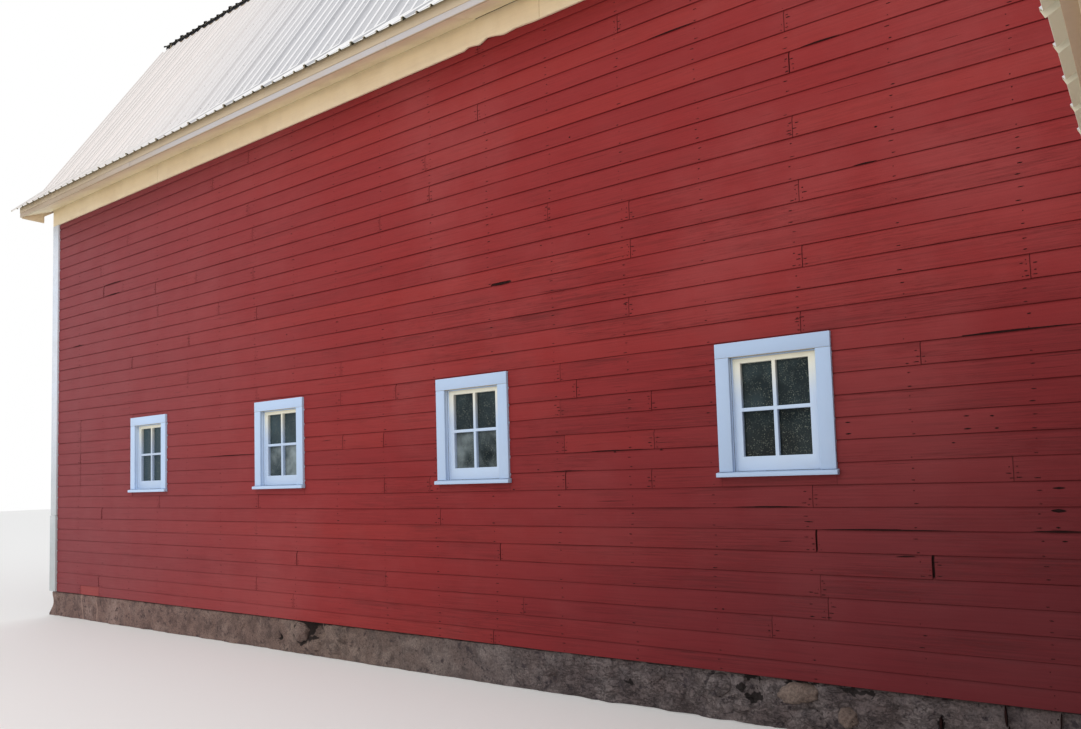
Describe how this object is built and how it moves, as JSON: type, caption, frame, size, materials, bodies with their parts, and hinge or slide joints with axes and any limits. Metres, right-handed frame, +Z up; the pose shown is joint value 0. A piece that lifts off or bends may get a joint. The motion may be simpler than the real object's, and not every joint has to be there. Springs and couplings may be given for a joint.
{
  "type": "gambrel barn with a low wing",
  "caption": "Hollow timber barn with red lap siding, small white windows, a flared gambrel roof of ribbed steel and a low gabled wing.",
  "frame": {"origin": "centre of the main barn's footprint, at ground level", "axes": "+Z up, +X along the ridge, -Y out of the long front wall with the wing"},
  "size_m": [18.72, 14.7129, 10.1874],
  "materials": {
    "foundation_stone": "rough",
    "floor_concrete": "rough",
    "wall_timber": "rough sawn",
    "red_siding": "matte paint",
    "cream_trim": "satin paint",
    "white_trim": "satin paint",
    "roof_timber": "rough sawn",
    "roof_steel": "satin",
    "window_glass": "clear"
  },
  "bodies": {
    "root": {"front_foundation": "foundation_stone", "back_foundation": "foundation_stone", "left_foundation": "foundation_stone", "right_foundation": "foundation_stone", "floor_slab": "floor_concrete", "front_wall": "wall_timber", "back_wall": "wall_timber", "left_gable_wall": "wall_timber", "right_gable_wall": "wall_timber", "front_siding": "red_siding", "back_siding": "red_siding", "left_gable_siding": "red_siding", "right_gable_siding": "red_siding", "corner_boards": "white_trim", "frieze_boards": "cream_trim", "eave_fascias": "cream_trim", "eave_soffits": "cream_trim", "eave_end_boards": "cream_trim", "rake_boards": "cream_trim", "lower_front_roof": "roof_timber", "lower_back_roof": "roof_timber", "upper_front_roof": "roof_timber", "upper_back_roof": "roof_timber", "lower_front_sheets": "roof_steel", "lower_back_sheets": "roof_steel", "upper_front_sheets": "roof_steel", "upper_back_sheets": "roof_steel", "ridge_caps": "roof_steel", "window_casings": "white_trim", "window_sills": "white_trim", "window_sashes": "white_trim", "window_glass": "window_glass", "barn_doors": "red_siding", "door_track": "white_trim", "wing_foundation": "foundation_stone", "wing_left_wall": "wall_timber", "wing_right_wall": "wall_timber", "wing_gable_wall": "wall_timber", "wing_siding": "red_siding", "wing_left_roof": "roof_timber", "wing_right_roof": "roof_timber", "wing_left_sheets": "roof_steel", "wing_right_sheets": "roof_steel", "wing_door": "white_trim", "wing_door_casing": "white_trim"}
  },
  "joints": []
}
